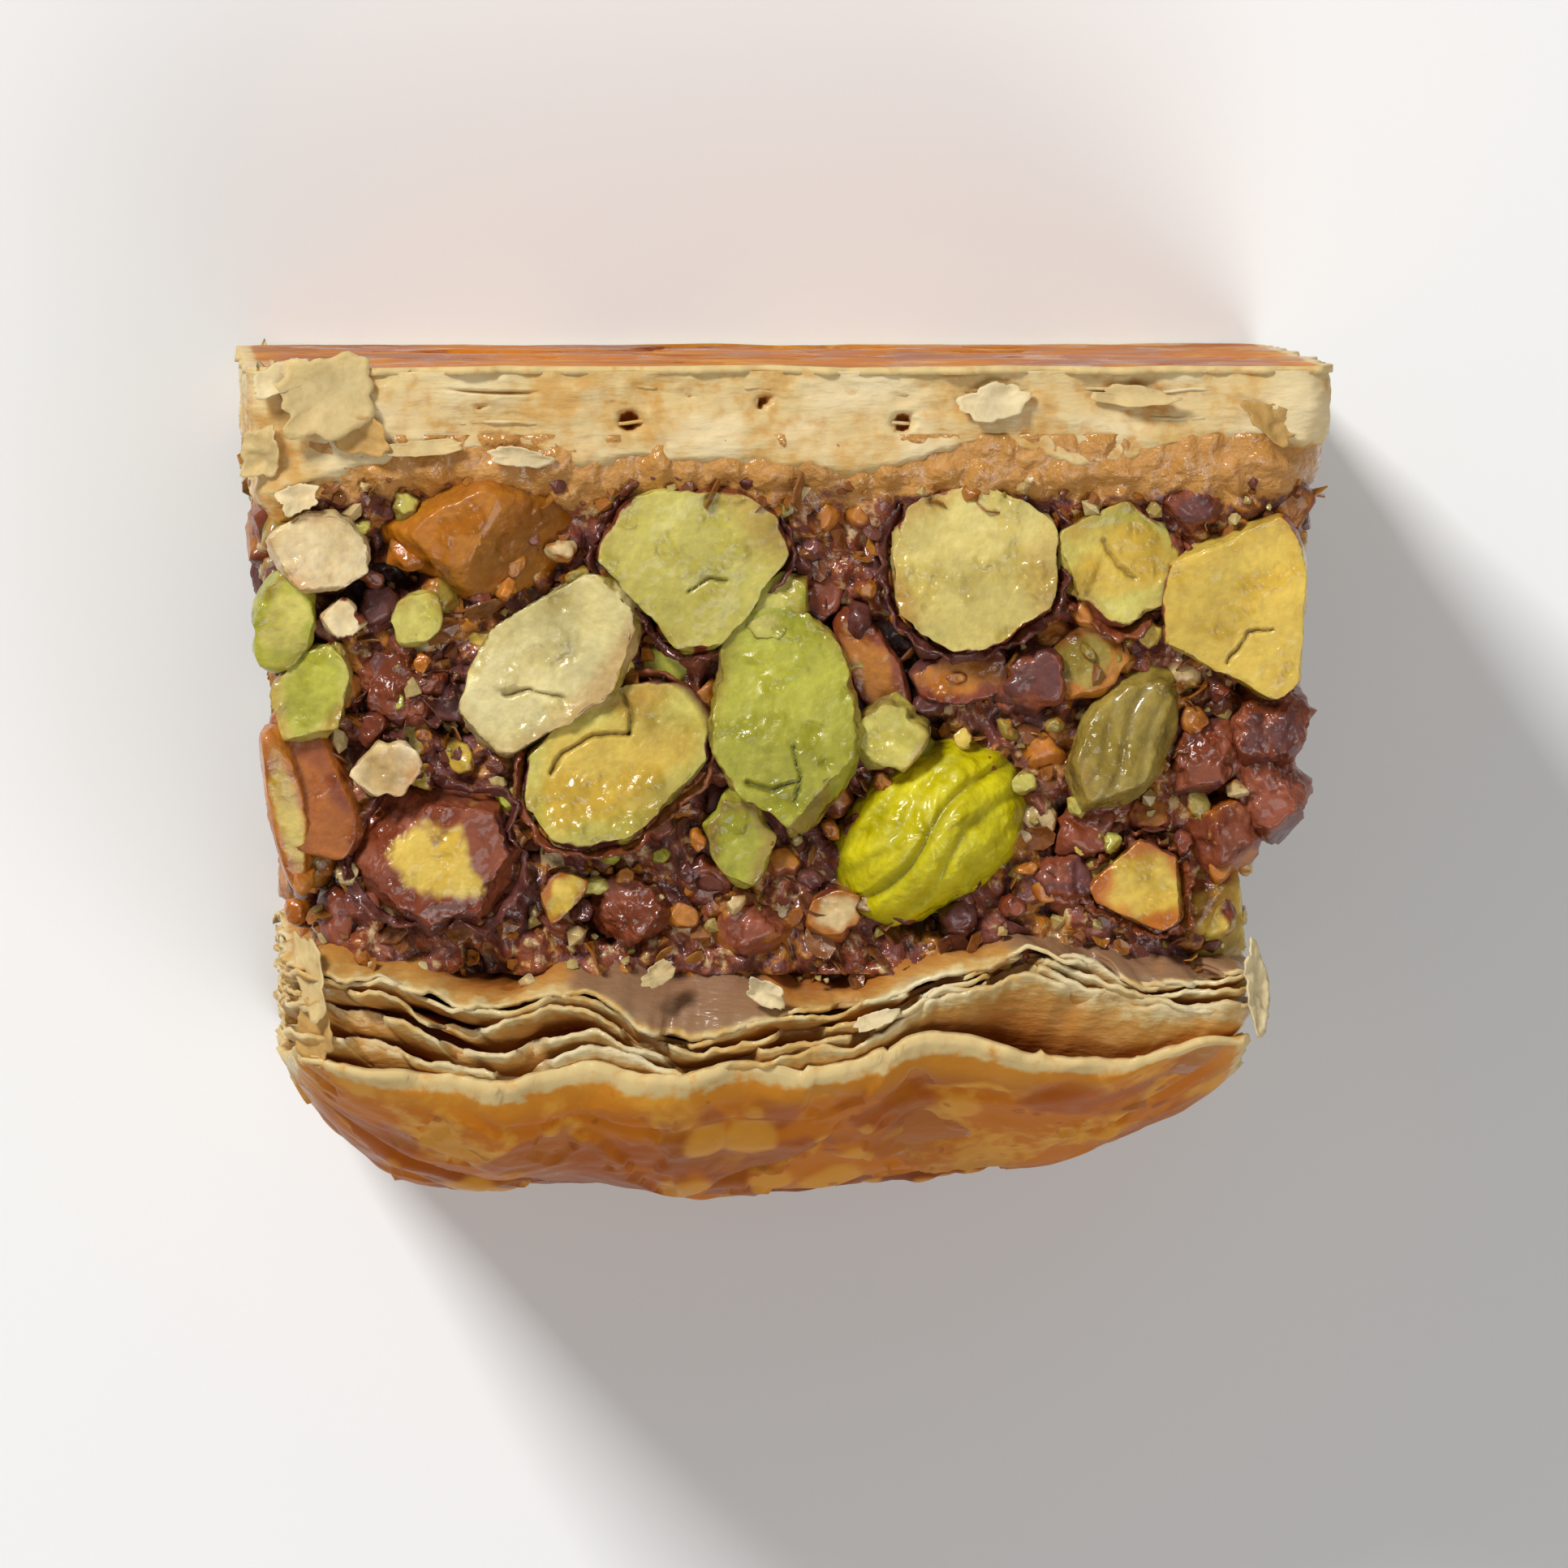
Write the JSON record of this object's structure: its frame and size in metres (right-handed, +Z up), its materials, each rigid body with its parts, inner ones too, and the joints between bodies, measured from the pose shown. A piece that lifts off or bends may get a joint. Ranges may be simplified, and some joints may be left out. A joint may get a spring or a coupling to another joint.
{
  "type": "baklava piece",
  "caption": "Square-cut pistachio baklava piece lying on a cut side: pressed base pastry, chopped nut filling in syrup, and a puffed, glazed top of thin leaves.",
  "frame": {"origin": "centre of the part's box, on the ground that its lower cut side rests on", "axes": "+X across the piece, +Y from the glazed top pastry to the base pastry, +Z up, out of the cut side that shows"},
  "size_m": [0.0436, 0.0338, 0.0351],
  "materials": {
    "base_pastry": "pressed phyllo soaked in syrup, pale and faintly moist",
    "nut_filling": "chopped pistachios with purple-brown skins, sticky with syrup",
    "top_pastry": "baked phyllo leaves, the outer one golden and glazed with syrup"
  },
  "bodies": {
    "root": {"base_pastry": "base_pastry", "nut_filling": "nut_filling", "top_pastry": "top_pastry"}
  },
  "joints": []
}
